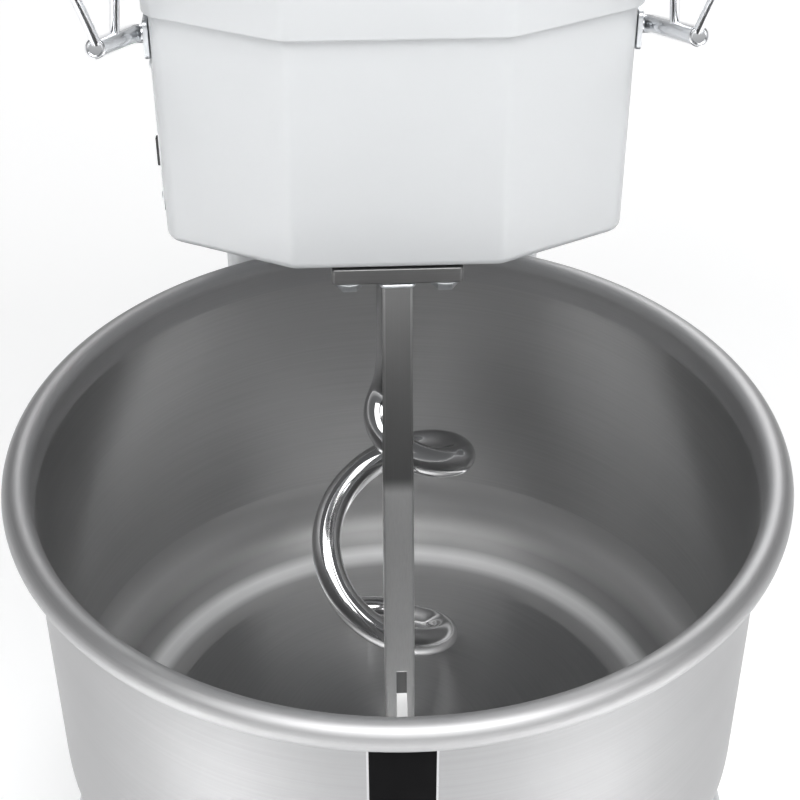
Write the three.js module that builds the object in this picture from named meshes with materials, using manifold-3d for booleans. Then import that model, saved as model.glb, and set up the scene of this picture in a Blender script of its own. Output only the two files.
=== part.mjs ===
// Spiral dough mixer: octagonal head on a column, stainless bowl turning on a base cabinet.
// Units are millimetres. +Z is up, -Y is the front, and the origin is on the floor.
import * as THREE from 'three';
import { mergeVertices } from 'three/addons/utils/BufferGeometryUtils.js';
import Module from 'manifold-3d';

const wasm = await Module();
wasm.setup();

// ---- driving dimensions ----
const GAP = 0.3;            // free space between neighbouring pieces
const SHEET = 2.5;          // painted sheet thickness
const LENGTH = 750;         // base cabinet, front to back
const WIDTH = 410;          // base cabinet, side to side
const BASE_Z = 30;          // underside of the cabinet, on its feet
const BASE_TOP = 325;
const BOWL_Y = -149;        // bowl axis
const RIM_Z = 590;          // plane through the middle of the rolled rim
const BOWL_R = 200;         // inside radius of the bowl
const BOWL_WALL = 2.5;
const RIM_R = 8;            // radius of the rolled rim
const BOWL_DEPTH = 230;     // rim plane down to the bowl floor
const FILLET_R = 50;        // inside radius where wall meets floor
const SPIRAL_Y = BOWL_Y + 65;
const DRIVE_Y = 175;        // vertical drive shaft in the column
const COLUMN = { halfW: 105, y0: 89, y1: 360 };
const HEAD = { halfW: 118, frontHalfW: 53, y0: -160, y1: 360, chamfer: 32, z0: 716, z1: 850 };
const COVER = { over: 3, z0: 842, z1: 913 };
const ROD_R = 9;          // spiral rod
const PULLEY_BIG_R = 160;
const PULLEY_SMALL_R = 20;  // 1:8 to the bowl
const SPROCKET_R = 45;
const BELT_Z = [93, 117];
const CHAIN_Z = [763, 771];
const GUARD = { y: -114, z: 826, armEnd: [136, -180, 849], rodR: 2.3, ribR: 1.9 };
const PANEL_X = -120;       // outer face of the control panel

// ---- solids ----
const group = new THREE.Group();
group.name = 'spiral_dough_mixer';

// Reduce any closed geometry to merged positions, drop empty triangles and face it outwards.
function clean(geometry) {
  const g = geometry.index ? geometry.clone() : geometry;
  for (const name of Object.keys(g.attributes)) if (name !== 'position') g.deleteAttribute(name);
  const merged = mergeVertices(g, 1e-3);
  const p = merged.attributes.position.array;
  const src = merged.index.array;
  const tri = [];
  let volume = 0;
  for (let i = 0; i < src.length; i += 3) {
    const [a, b, c] = [src[i], src[i + 1], src[i + 2]];
    if (a === b || b === c || c === a) continue;
    tri.push(a, b, c);
    const [A, B, C] = [a, b, c].map((k) => new THREE.Vector3(p[3 * k], p[3 * k + 1], p[3 * k + 2]));
    volume += A.dot(B.cross(C));
  }
  if (volume < 0) for (let i = 0; i < tri.length; i += 3) [tri[i], tri[i + 1]] = [tri[i + 1], tri[i]];
  const out = new THREE.BufferGeometry();
  out.setAttribute('position', new THREE.BufferAttribute(new Float32Array(p), 3));
  out.setIndex(tri);
  return out;
}

function toSolid(geometry) {
  const g = clean(geometry);
  return new wasm.Manifold(new wasm.Mesh({
    numProp: 3,
    vertProperties: new Float32Array(g.attributes.position.array),
    triVerts: new Uint32Array(g.index.array),
  }));
}

function toGeometry(solid) {
  const mesh = solid.getMesh();
  const out = new THREE.BufferGeometry();
  out.setAttribute('position', new THREE.BufferAttribute(new Float32Array(mesh.vertProperties), 3));
  out.setIndex([...mesh.triVerts]);
  return out;
}

// Join the first geometries and cut the others away from the result.
function combine(joins, cuts = []) {
  let solid = toSolid(joins[0]);
  for (const g of joins.slice(1)) solid = solid.add(toSolid(g));
  for (const g of cuts) solid = solid.subtract(toSolid(g));
  return toGeometry(solid);
}

// ---- shapes ----
function box(x0, x1, y0, y1, z0, z1) {
  return new THREE.BoxGeometry(x1 - x0, y1 - y0, z1 - z0)
    .translate((x0 + x1) / 2, (y0 + y1) / 2, (z0 + z1) / 2);
}

// Cylinder along +Z between two heights.
function rod(r, z0, z1, x = 0, y = 0, sides = 24) {
  return new THREE.CylinderGeometry(r, r, z1 - z0, sides).rotateX(Math.PI / 2)
    .translate(x, y, (z0 + z1) / 2);
}

// Cylinder along X between two positions.
function rodX(r, x0, x1, y, z, sides = 16) {
  return new THREE.CylinderGeometry(r, r, x1 - x0, sides).rotateZ(Math.PI / 2)
    .translate((x0 + x1) / 2, y, z);
}

// Body of revolution about a vertical axis; the profile is [radius, height] pairs.
function lathe(profile, x, y, sides = 24) {
  const points = profile.map(([r, z]) => new THREE.Vector2(r, z));
  return new THREE.LatheGeometry(points, sides).rotateX(Math.PI / 2).translate(x, y, 0);
}

function ring(rOut, rIn, z0, z1, x, y, sides = 20) {
  return lathe([[rIn, z0], [rOut, z0], [rOut, z1], [rIn, z1], [rIn, z0]], x, y, sides);
}

// Round bar along a curve.
function sweep(curve, r, steps, sides = 10) {
  const shape = new THREE.Shape();
  for (let i = 0; i < sides; i++) {
    const a = (2 * Math.PI * i) / sides;
    shape[i ? 'lineTo' : 'moveTo'](r * Math.cos(a), r * Math.sin(a));
  }
  return new THREE.ExtrudeGeometry(shape, { steps, extrudePath: curve, curveSegments: 1 });
}

function prism(outline, z0, z1, holes = []) {
  const shape = new THREE.Shape(outline.map(([x, y]) => new THREE.Vector2(x, y)));
  for (const h of holes) shape.holes.push(new THREE.Path(h.map(([x, y]) => new THREE.Vector2(x, y))));
  return new THREE.ExtrudeGeometry(shape, { depth: z1 - z0, bevelEnabled: false, curveSegments: 1 })
    .translate(0, 0, z0);
}

// Move every side of a counter-clockwise convex outline inwards by d.
function inset(corners, d) {
  const n = corners.length;
  const side = corners.map(([x0, y0], i) => {
    const [x1, y1] = corners[(i + 1) % n];
    const len = Math.hypot(x1 - x0, y1 - y0);
    const [nx, ny] = [-(y1 - y0) / len, (x1 - x0) / len];
    return [nx, ny, nx * x0 + ny * y0 + d];
  });
  return corners.map((_, i) => {
    const [a, b, c] = side[(i + n - 1) % n];
    const [d2, e, f] = side[i];
    const det = a * e - b * d2;
    return [(c * e - b * f) / det, (a * f - c * d2) / det];
  });
}

// Replace each corner of a convex outline by an arc.
function rounded(corners, r, steps = 2) {
  const n = corners.length;
  const out = [];
  corners.forEach(([x, y], i) => {
    const before = corners[(i + n - 1) % n];
    const after = corners[(i + 1) % n];
    const u = new THREE.Vector2(before[0] - x, before[1] - y).normalize();
    const v = new THREE.Vector2(after[0] - x, after[1] - y).normalize();
    const half = Math.acos(THREE.MathUtils.clamp(u.dot(v), -1, 1)) / 2;
    const mid = u.clone().add(v).normalize();
    const centre = new THREE.Vector2(x, y).addScaledVector(mid, r / Math.sin(half));
    const start = new THREE.Vector2(x, y).addScaledVector(u, r / Math.tan(half)).sub(centre);
    const turn = Math.PI - 2 * half;
    for (let k = 0; k <= steps; k++) {
      const p = start.clone().rotateAround(new THREE.Vector2(), (turn * k) / steps).add(centre);
      out.push([p.x, p.y]);
    }
  });
  return out;
}

// Skin over a pile of equal-length convex outlines given as [outline, height].
function stack(sections) {
  const n = sections[0][0].length;
  const pos = [];
  for (const [outline, z] of sections) for (const [x, y] of outline) pos.push(x, y, z);
  const index = [];
  for (let s = 0; s + 1 < sections.length; s++) {
    for (let i = 0; i < n; i++) {
      const [a, b] = [s * n + i, s * n + ((i + 1) % n)];
      index.push(a, b, b + n, a, b + n, a + n);
    }
  }
  const top = (sections.length - 1) * n;
  for (let i = 1; i + 1 < n; i++) index.push(0, i + 1, i, top, top + i, top + i + 1);
  const g = new THREE.BufferGeometry();
  g.setAttribute('position', new THREE.Float32BufferAttribute(pos, 3));
  g.setIndex(index);
  return g;
}

// Prism of a cornered plan with rounded upright corners and optional rounded top or bottom edges.
function softPrism(corners, cornerR, z0, z1, bottomR = 0, topR = 0) {
  const section = (d, z) => [rounded(inset(corners, d), Math.max(cornerR - d, 0.5)), z];
  const sections = [];
  const arc = [0, 0.35, 0.7, 1].map((t) => (t * Math.PI) / 2);
  if (bottomR) for (const a of arc) {
    sections.push(section(bottomR * (1 - Math.sin(a)), z0 + bottomR * (1 - Math.cos(a))));
  } else sections.push(section(0, z0));
  if (topR) for (const a of arc) {
    sections.push(section(topR * (1 - Math.cos(a)), z1 - topR * (1 - Math.sin(a))));
  } else sections.push(section(0, z1));
  return stack(sections);
}

function circle(cx, cy, r, sides = 24) {
  return Array.from({ length: sides }, (_, i) => {
    const a = (2 * Math.PI * i) / sides;
    return [cx + r * Math.cos(a), cy + r * Math.sin(a)];
  });
}

// Outline of a loop running round two wheels that stand one behind the other.
function loopOutline(yA, rA, yB, rB, steps = 24) {
  const lean = Math.asin((rA - rB) / (yB - yA));
  const out = [];
  for (let i = 0; i <= steps; i++) {
    const a = Math.PI - lean + ((Math.PI + 2 * lean) * i) / steps;
    out.push([rA * Math.cos(a), yA + rA * Math.sin(a)]);
  }
  for (let i = 0; i <= steps / 2; i++) {
    const a = lean + ((Math.PI - 2 * lean) * i) / (steps / 2);
    out.push([rB * Math.cos(a), yB + rB * Math.sin(a)]);
  }
  return out;
}

// ---- materials ----
function material(color, roughness, metalness) {
  return new THREE.MeshStandardMaterial({ color, roughness, metalness });
}
const paint = material(0xe9ecee, 0.45, 0.0);
const steel = material(0xa9abad, 0.35, 1.0);
const polished = material(0xc9ccce, 0.15, 1.0);
const castIron = material(0x5a6066, 0.6, 0.6);
const rubber = material(0x1d1d1f, 0.85, 0.0);
const blackPlastic = material(0x17181a, 0.4, 0.0);
const zinc = material(0xb8bcc0, 0.4, 0.9);
const greenPlastic = material(0x1f9a4a, 0.4, 0.0);
const redPlastic = material(0xc81e1e, 0.4, 0.0);
const motorPaint = material(0x3f5f86, 0.5, 0.1);
const amberLens = material(0xf3f1e4, 0.25, 0.0);

function add(name, geometry, mat) {
  const mesh = new THREE.Mesh(clean(geometry), mat);
  mesh.name = name;
  group.add(mesh);
  return mesh;
}

// ---- base cabinet ----
function baseCorners() {
  const [w, f, y0, y1] = [WIDTH / 2, 112, -LENGTH / 2, LENGTH / 2];
  return [[-f, y0], [f, y0], [w, y0 + 70], [w, y1], [-w, y1], [-w, y0 + 70]];
}

function buildBase() {
  const plan = baseCorners();
  const shell = combine(
    [softPrism(plan, 14, BASE_Z, BASE_TOP, 0, 8)],
    [
      softPrism(inset(plan, SHEET), 11.5, BASE_Z - 5, BASE_TOP - SHEET, 0, 5),
      rod(43.5, BASE_TOP - 10, BASE_TOP + 5, 0, BOWL_Y, 32),
      rod(20, BASE_TOP - 10, BASE_TOP + 5, 0, DRIVE_Y),
    ],
  );
  add('base_shell', shell, paint);
  const floor = rounded(inset(plan, SHEET + GAP), 11);
  add('base_plate', prism(floor, BASE_Z, BASE_Z + 3), zinc);
  const foot = [[0, 0], [24, 0], [25, 3], [21, 13], [11, 17], [11, 29.7], [0, 29.7]];
  const places = [['fl', -150, -300], ['fr', 150, -300], ['rl', -170, 320], ['rr', 170, 320]];
  for (const [side, x, y] of places) add(`foot_${side}`, lathe(foot, x, y, 16), rubber);
}

// ---- column and motor ----
function buildColumn() {
  const { halfW: w, y0, y1 } = COLUMN;
  const plan = [[-w, y0], [w, y0], [w, y1], [-w, y1]];
  const [z0, z1] = [BASE_TOP + GAP, HEAD.z0 - GAP];
  add('column_shell', combine(
    [softPrism(plan, 10, z0, z1)],
    [
      softPrism(inset(plan, SHEET), 7.5, z0 - 5, z1 + 5),
      box(-80, 80, y1 - 20, y1 + 5, z0 + 30, z1 - 30),
      rodX(10, w - 10, w + 5, 300, 380, 16),
    ],
  ), paint);
  const slots = [];
  for (let i = 0; i < 7; i++) slots.push(box(-50, 50, y1 - 5, y1 + 8, 400 + 14 * i, 406 + 14 * i));
  add('rear_cover', combine([box(-90, 90, y1 + GAP, y1 + GAP + 2, z0 + 20, z1 - 20)], slots), paint);
  add('cable_gland', combine(
    [rodX(9.5, w - 12, w + 16, 300, 380, 12), rodX(13, w + GAP, w + 10, 300, 380, 6)],
    [rodX(5, w - 20, w + 30, 300, 380, 12)],
  ), blackPlastic);

  add('motor_shelf', combine(
    [box(-101, 101, 128, 352, 420, 428)], [rod(30, 410, 440, 0, DRIVE_Y)]), zinc);
  const gearbox = softPrism([[-70, 132], [70, 132], [70, 352], [-70, 352]], 14, 428.3, 512, 3, 3);
  add('gear_housing', combine(
    [gearbox, rod(30, 505, 520, 0, DRIVE_Y)], [rod(12.8, 420, 530, 0, DRIVE_Y)]), castIron);
  const fins = [[0, 512.3], [66, 512.3]];
  for (let i = 0; i < 3; i++) {
    const z = 540 + 40 * i;
    fins.push([66, z], [60, z], [60, z + 12], [66, z + 12]);
  }
  fins.push([66, 676], [0, 676]);
  add('motor_body', lathe(fins, 0, 280, 20), motorPaint);
  add('motor_fan_cowl', lathe([[0, 676.3], [63, 676.3], [63, 704], [56, 712], [0, 712]], 0, 280, 20),
    motorPaint);
  add('motor_terminal_box', softPrism([[67, 255], [95, 255], [95, 315], [67, 315]], 4, 560, 630, 2, 2),
    motorPaint);
}

// ---- head ----
function headCorners(grow = 0) {
  const { halfW: w, frontHalfW: f, y0, y1, chamfer: c } = HEAD;
  return inset([[-f, y0], [f, y0], [w, y0 + c], [w, y1], [-w, y1], [-w, y0 + c]], -grow);
}

const BOLT_X = 24.4;
const PLATE = { halfW: 33.5, y0: BOWL_Y - 10, y1: BOWL_Y + 6, h: 9 };
const BOLT_Y = BOWL_Y - 2;

const CONTROLS = [
  // name, y, z, hole radius
  ['speed_selector', -69, 738, 4.3],
  ['start_button', -30, 760, 8.3],
  ['stop_button', 8, 760, 8.3],
  ['estop_button', 58, 760, 9.3],
  ['timer_knob', 108, 760, 4.3],
  ['power_lamp', -15, 790, 5.3],
];

function buildHead() {
  const plan = headCorners();
  const w = HEAD.halfW;
  const shell = combine(
    [softPrism(plan, 7, HEAD.z0, HEAD.z1, 4, 0)],
    [
      softPrism(inset(plan, SHEET), 4.5, HEAD.z0 + SHEET, HEAD.z1 + 5, 2, 0),
      rod(37, HEAD.z0 - 5, HEAD.z0 + 5, 0, SPIRAL_Y, 32),
      box(-90, 90, 104, 345, HEAD.z0 - 5, HEAD.z0 + 5),
      rod(4.5, HEAD.z0 - 5, HEAD.z0 + 5, BOLT_X, BOLT_Y, 12),
      rod(4.5, HEAD.z0 - 5, HEAD.z0 + 5, -BOLT_X, BOLT_Y, 12),
      box(-w - 5, -w + 5, -104, 128, 727, 806),
    ],
  );
  add('head_shell', shell, paint);
  const lid = headCorners(COVER.over);
  add('head_cover', combine(
    [softPrism(lid, 10, COVER.z0, COVER.z1, 0, 10)],
    [
      softPrism(inset(lid, COVER.over - GAP), 7.5, COVER.z0 - 5, HEAD.z1 + GAP),
      softPrism(inset(lid, 5.5), 4, HEAD.z1 - 5, COVER.z1 - SHEET, 0, 3),
    ],
  ), paint);
  const panel = rounded([[-w - 2, -110], [-w - GAP, -110], [-w - GAP, 136], [-w - 2, 136]], 0.3, 1);
  add('control_panel', combine([prism(panel, 723, 812)],
    CONTROLS.map(([, y, z, r]) => rodX(r + 0.2, -w - 10, -w + 10, y, z, 16))), steel);
  add('control_box', softPrism([[-98, -100], [-66, -100], [-66, 126], [-98, 126]], 4, 736, 804, 2, 2),
    blackPlastic);
}

function buildControls() {
  const at = Object.fromEntries(CONTROLS.map(([name, y, z]) => [name, [y, z]]));
  const out = PANEL_X - GAP;
  const stem = -102;
  const pointer = (y, z, r, x0, x1) => box(x0, x1, y - 1.2, y + 1.2, z, z + r);
  const [sy, sz] = at.speed_selector;
  add('speed_selector', combine(
    [rodX(9.5, out - 4.6, out, sy, sz), rodX(4, out - 1, stem, sy, sz, 14),
      box(out - 5.6, out - 1, sy - 2, sy + 2, sz - 8.5, sz + 8.5)]), blackPlastic);
  for (const [name, mat] of [['start_button', greenPlastic], ['stop_button', redPlastic]]) {
    const [y, z] = at[name];
    add(name, combine([rodX(8, out - 6, stem - 4, y, z)]), mat);
  }
  const [ey, ez] = at.estop_button;
  add('estop_button', combine(
    [rodX(9, out - 10, stem - 5, ey, ez), rodX(18, out - 15, out - 8, ey, ez, 28)]), redPlastic);
  const [ty, tz] = at.timer_knob;
  add('timer_knob', combine(
    [rodX(15, out - 12, out - 1, ty, tz, 28), rodX(4, out - 3, stem, ty, tz, 14)],
    [pointer(ty, tz, 14, out - 14, out - 11)]), blackPlastic);
  const [ly, lz] = at.power_lamp;
  add('power_lamp', combine([rodX(7, out - 3, out, ly, lz), rodX(5, out - 1, stem, ly, lz, 16)]), amberLens);
}

// ---- bowl and its drive ----
function bowlProfile() {
  const floor = RIM_Z - BOWL_DEPTH;
  const out = [[0, floor]];
  const corner = (r, i) => {
    const a = (-Math.PI / 2) * (i / 5);
    out.push([BOWL_R - FILLET_R + r * Math.cos(a), floor + FILLET_R + r * Math.sin(a)]);
  };
  for (let i = 5; i >= 0; i--) corner(FILLET_R, i);
  const rimR = BOWL_R + RIM_R;
  for (let i = 0; i <= 8; i++) {
    const a = Math.PI - (i * Math.PI * 1.36) / 8;
    out.push([rimR + RIM_R * Math.cos(a), RIM_Z + RIM_R * Math.sin(a)]);
  }
  out.push([BOWL_R + BOWL_WALL, RIM_Z - 9]);
  for (let i = 0; i <= 5; i++) corner(FILLET_R + BOWL_WALL, i);
  out.push([0, floor - BOWL_WALL]);
  return out;
}

function sectorPlate(rIn, rOut, mid, half, z0, z1, x, y, steps = 6) {
  const outline = [];
  for (let i = 0; i <= steps; i++) outline.push([rOut, mid - half + (2 * half * i) / steps]);
  for (let i = steps; i >= 0; i--) outline.push([rIn, mid - half + (2 * half * i) / steps]);
  return prism(outline.map(([r, a]) => [r * Math.cos(a), r * Math.sin(a)]), z0, z1).translate(x, y, 0);
}

function buildBowl() {
  const under = RIM_Z - BOWL_DEPTH - BOWL_WALL;
  add('bowl', lathe(bowlProfile(), 0, BOWL_Y, 44), steel);
  add('bowl_label', sectorPlate(BOWL_R + BOWL_WALL + 0.6, BOWL_R + BOWL_WALL + 1.5,
    THREE.MathUtils.degToRad(-91.7), 0.084, RIM_Z - 112, RIM_Z - 13, 0, BOWL_Y), blackPlastic);
  add('bowl_flange', lathe([[0, 349], [50, 349], [60, 352], [60, under - GAP], [0, under - GAP]],
    0, BOWL_Y), steel);
  add('bowl_shaft', lathe([[0, 66], [16, 66], [16, 84], [20, 84], [20, 348.7], [0, 348.7]], 0, BOWL_Y, 24),
    zinc);
  add('bowl_nut', combine([rod(26, 69, 83.7, 0, BOWL_Y, 6)], [rod(16.3, 60, 90, 0, BOWL_Y, 24)]), zinc);
  const R = PULLEY_BIG_R;
  const [b0, b1] = BELT_Z;
  add('bowl_pulley', lathe([
    [20.5, 84], [34, 84], [34, 100], [146, 100], [146, b0 - 5], [R + 5, b0 - 5], [R, b0 - 1],
    [R, b1 + 1], [R + 5, b1 + 5], [146, b1 + 5], [146, 110], [34, 110], [34, 126], [20.5, 126],
    [20.5, 84],
  ], 0, BOWL_Y, 28), castIron);
  add('bowl_bearing_housing', lathe([
    [32.6, 219], [42, 219], [42, 325.3], [65, 325.3], [65, 331.3], [42, 331.3], [42, 337],
    [32.6, 337], [32.6, 317.7], [28, 317.7], [28, 238.3], [32.6, 238.3], [32.6, 219],
  ], 0, BOWL_Y, 20), castIron);
  add('bowl_bearing_lower', ring(32, 20.3, 222, 238, 0, BOWL_Y), steel);
  add('bowl_bearing_upper', ring(32, 20.3, 318, 334, 0, BOWL_Y), steel);
  const belt = (t) => loopOutline(BOWL_Y, R + t, DRIVE_Y, PULLEY_SMALL_R + t, 32);
  add('bowl_belt', prism(belt(4.3), b0, b1, [belt(GAP + 0.4).reverse()]), rubber);
}

// ---- drive shaft, chain and spiral ----
function buildDrive() {
  const [b0, b1] = BELT_Z;
  const [c0, c1] = CHAIN_Z;
  const r = PULLEY_SMALL_R;
  add('drive_shaft', rod(12.5, 62, 792, 0, DRIVE_Y, 20), zinc);
  add('drive_pulley', lathe([
    [13, b0 - 5], [r + 4, b0 - 5], [r, b0 - 1], [r, b1 + 1], [r + 4, b1 + 5], [13, b1 + 5],
    [13, b0 - 5],
  ], 0, DRIVE_Y, 20), castIron);
  add('drive_bearing', lathe([
    [12.9, 327], [18, 327], [18, BASE_TOP + GAP], [42, BASE_TOP + GAP], [42, 333], [24, 336],
    [24, 348], [12.9, 348], [12.9, 327],
  ], 0, DRIVE_Y, 16), castIron);
  const sprocket = (y, bore) => lathe([
    [bore, c0 - 11], [24, c0 - 11], [24, c0], [SPROCKET_R, c0], [SPROCKET_R, c1], [24, c1],
    [24, c1 + 6], [bore, c1 + 6], [bore, c0 - 11],
  ], 0, y, 28);
  add('drive_sprocket', sprocket(DRIVE_Y, 12.8), steel);
  add('spiral_sprocket', sprocket(SPIRAL_Y, 15.3), steel);
  const chain = (t) => loopOutline(SPIRAL_Y, SPROCKET_R + t, DRIVE_Y, SPROCKET_R + t, 20);
  add('drive_chain', prism(chain(6.5), c0, c1, [chain(0.6).reverse()]), steel);

  add('spiral_shaft', lathe([[0, 700], [15, 700], [15, 786], [13, 788], [0, 788]], 0, SPIRAL_Y, 24), zinc);
  add('spiral_bearing_housing', lathe([
    [30.6, 706], [36, 706], [36, 719.8], [52, 719.8], [52, 726], [36, 726], [36, 751], [30.6, 751],
    [30.6, 733.7], [25, 733.7], [25, 726.3], [30.6, 726.3], [30.6, 706],
  ], 0, SPIRAL_Y, 20), castIron);
  add('spiral_bearing_lower', ring(30, 15.3, 712, 726, 0, SPIRAL_Y), steel);
  add('spiral_bearing_upper', ring(30, 15.3, 734, 748, 0, SPIRAL_Y), steel);
  add('spiral_seal', ring(30, 15.3, 706.5, 711.6, 0, SPIRAL_Y), rubber);
}

// Spiral rod as [turn in degrees, radius, height below the rim plane]; 0 is right, 90 is back.
const COIL = [
  [-240, 0.8, 20], [-180, 5, -6], [-90, 21.5, -29], [-30, 34.5, -46.5], [0, 41, -55], [90, 41, -83.5],
  [180, 42.5, -120.5], [225, 43, -146], [270, 39.8, -168], [360, 32, -200.5], [400, 28, -209],
  [425, 28, -212], [450, 33, -214], [480, 42, -214.5],
];

function spiralCurve() {
  const keys = new THREE.CatmullRomCurve3(COIL.map((k) => new THREE.Vector3(...k)), false, 'centripetal');
  const path = [new THREE.Vector3(0, SPIRAL_Y, 690), new THREE.Vector3(0, SPIRAL_Y, 650)];
  const count = 56;
  for (let i = 0; i <= count; i++) {
    const k = keys.getPoint(i / count);
    const a = THREE.MathUtils.degToRad(k.x);
    path.push(new THREE.Vector3(k.y * Math.cos(a), SPIRAL_Y + k.y * Math.sin(a), RIM_Z + k.z));
  }
  return new THREE.CatmullRomCurve3(path, false, 'centripetal');
}

function buildSpiral() {
  const curve = spiralCurve();
  const tip = curve.getPoint(1);
  add('spiral_hook', combine([
    sweep(curve, ROD_R, 50, 10),
    rod(ROD_R, 688, 699.7, 0, SPIRAL_Y, 20),
    lathe([[0, 692], [17, 692], [19, 694], [19, 699.7], [0, 699.7]], 0, SPIRAL_Y, 24),
    new THREE.SphereGeometry(ROD_R * 0.98, 10, 6).translate(tip.x, tip.y, tip.z),
  ]), polished);
}

// ---- breaker bar ----
function buildBreaker() {
  const z1 = HEAD.z0 - GAP;
  const { halfW: w, y0, y1, h } = PLATE;
  add('breaker_plate', combine([softPrism([[-w, y0], [w, y0], [w, y1], [-w, y1]], 2, z1 - h, z1, 1, 0)],
    [BOLT_X, -BOLT_X].map((x) => rod(4.3, z1 - h - 5, z1 + 5, x, BOLT_Y, 12))), steel);
  for (const [side, x] of [['l', -BOLT_X], ['r', BOLT_X]]) {
    const head = z1 - h - GAP;
    add(`breaker_bolt_${side}`, combine([
      rod(7.5, head - 5.5, head, x, BOLT_Y, 6), rod(4, head - 1, 729, x, BOLT_Y, 12)]), zinc);
  }
  const front = BOWL_Y - 10;
  const bend = RIM_Z - 13;
  const foot = RIM_Z - 222;
  const lean = Math.tan(THREE.MathUtils.degToRad(6));
  const section = (halfWidth, thick, z) => {
    const y = front - Math.max(0, bend - z) * lean;
    const c = 1.5;
    return [[[-halfWidth + c, y], [halfWidth - c, y], [halfWidth, y + c], [halfWidth, y + thick - c],
      [halfWidth - c, y + thick], [-halfWidth + c, y + thick], [-halfWidth, y + thick - c],
      [-halfWidth, y + c]], z];
  };
  const bar = stack([section(8.8, 10, foot), section(8.9, 12, RIM_Z - 160), section(8.6, 12, bend - 8),
    section(8.4, 12, bend + 8), section(7.6, 12, z1 - h - GAP)]);
  const blade = stack([RIM_Z - 165, foot].reverse().map((z) => {
    const y = front - (bend - z) * lean;
    return [[[-3.4, y - 5], [3.4, y - 5], [3.4, y + 3], [-3.4, y + 3]], z];
  }));
  const yPocket = front - (bend - (RIM_Z - 152)) * lean;
  add('breaker_bar', combine([bar, blade],
    [box(-2.8, 2.8, yPocket - 4, yPocket + 2.5, RIM_Z - 160, RIM_Z - 146)]), steel);
}

// ---- bowl guard, raised ----
// A hoop leaves both arms and lies in a plane leaning `tilt` degrees above the forward direction.
function hoopCurve(root, tilt, half) {
  const a = THREE.MathUtils.degToRad(tilt);
  const at = ([x, s]) => new THREE.Vector3(x, root.y - s * Math.cos(a), root.z + s * Math.sin(a));
  const points = [...half.map(([x, s]) => at([x, s])), ...[...half].reverse().slice(1).map(([x, s]) => at([-x, s]))];
  return new THREE.CatmullRomCurve3(points, false, 'centripetal');
}

function buildGuard() {
  const { y, z, armEnd, rodR, ribR } = GUARD;
  const hubX = 127;         // middle of the short hub that turns on the bracket's pin
  const start = new THREE.Vector3(hubX, y, z);
  const end = new THREE.Vector3(...armEnd);
  for (const [side, s] of [['l', -1], ['r', 1]]) {
    const flip = (g) => (s > 0 ? g : g.scale(-1, 1, 1));
    add(`guard_bracket_${side}`, flip(combine([
      box(HEAD.halfW + GAP, HEAD.halfW + 3, y - 10, y + 18, z - 10, z + 10),
      rodX(2.6, HEAD.halfW + 1, hubX + 2, y, z, 16)])), zinc);
    const arm = sweep(new THREE.LineCurve3(start, end), 4.6, 1, 16);
    add(`guard_arm_${side}`, flip(combine(
      [rodX(5.2, hubX - 5.4, hubX + 4.6, y, z, 20), arm], [rodX(2.9, hubX - 9, hubX + 2.4, y, z, 16)])), polished);
  }
  const outerRoot = start.clone().lerp(end, 0.95);
  const innerRoot = start.clone().lerp(end, 0.5);
  const outer = hoopCurve(outerRoot, 67, [[136.2, 9], [139, 23], [144.4, 50], [151, 90], [154, 130],
    [152, 180], [134, 228], [92, 258], [46, 270], [0, 273]]);
  const inner = hoopCurve(innerRoot, 75, [[130.6, 7.8], [128.4, 26], [125, 60], [121, 100], [109, 145],
    [80, 175], [42, 187], [0, 190]]);
  add('guard_hoop_outer', sweep(outer, rodR, 32, 8), polished);
  add('guard_hoop_inner', sweep(inner, rodR, 26, 8), polished);
  [0.37, 0.5, 0.63].forEach((t, i) => {
    const p = outer.getPoint(t);
    const q = inner.getPoint(0.5 + (t - 0.5) * 0.94);
    const d = q.clone().sub(p).normalize();
    p.addScaledVector(d, rodR + 1);
    q.addScaledVector(d, -rodR - 1);
    add(`guard_rib_${i + 1}`, sweep(new THREE.LineCurve3(p, q), ribR, 1, 8), polished);
  });
}

buildBase();
buildColumn();
buildHead();
buildControls();
buildBowl();
buildDrive();
buildSpiral();
buildBreaker();
buildGuard();

export default group;
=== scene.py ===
import math

import bmesh
import bpy
from mathutils import Matrix, Vector


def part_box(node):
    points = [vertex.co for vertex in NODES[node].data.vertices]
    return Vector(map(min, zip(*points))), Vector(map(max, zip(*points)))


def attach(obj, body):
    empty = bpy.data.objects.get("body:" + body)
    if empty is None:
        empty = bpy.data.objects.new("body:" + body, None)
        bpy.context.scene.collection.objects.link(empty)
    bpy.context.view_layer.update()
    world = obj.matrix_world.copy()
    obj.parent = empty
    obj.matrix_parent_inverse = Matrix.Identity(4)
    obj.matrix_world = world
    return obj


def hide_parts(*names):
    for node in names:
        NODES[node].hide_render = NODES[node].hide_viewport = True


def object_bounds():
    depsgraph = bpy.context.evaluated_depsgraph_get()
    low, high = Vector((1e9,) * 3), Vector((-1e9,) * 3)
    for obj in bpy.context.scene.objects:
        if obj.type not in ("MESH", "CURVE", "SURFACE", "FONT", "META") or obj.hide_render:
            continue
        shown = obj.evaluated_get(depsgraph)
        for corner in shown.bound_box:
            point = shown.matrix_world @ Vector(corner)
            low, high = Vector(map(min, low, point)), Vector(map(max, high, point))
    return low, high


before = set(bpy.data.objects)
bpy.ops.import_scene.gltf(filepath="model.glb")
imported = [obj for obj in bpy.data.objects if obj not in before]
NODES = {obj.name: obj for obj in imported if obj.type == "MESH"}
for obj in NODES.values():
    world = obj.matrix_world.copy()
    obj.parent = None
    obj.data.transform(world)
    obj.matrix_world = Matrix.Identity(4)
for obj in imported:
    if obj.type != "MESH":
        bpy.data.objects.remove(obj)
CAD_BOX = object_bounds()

# ---- places read from the frame ----
bowl_lo, bowl_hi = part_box("bowl")
head_lo, head_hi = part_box("head_shell")
lid_lo, lid_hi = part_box("head_cover")
column_lo, column_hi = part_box("column_shell")
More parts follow.
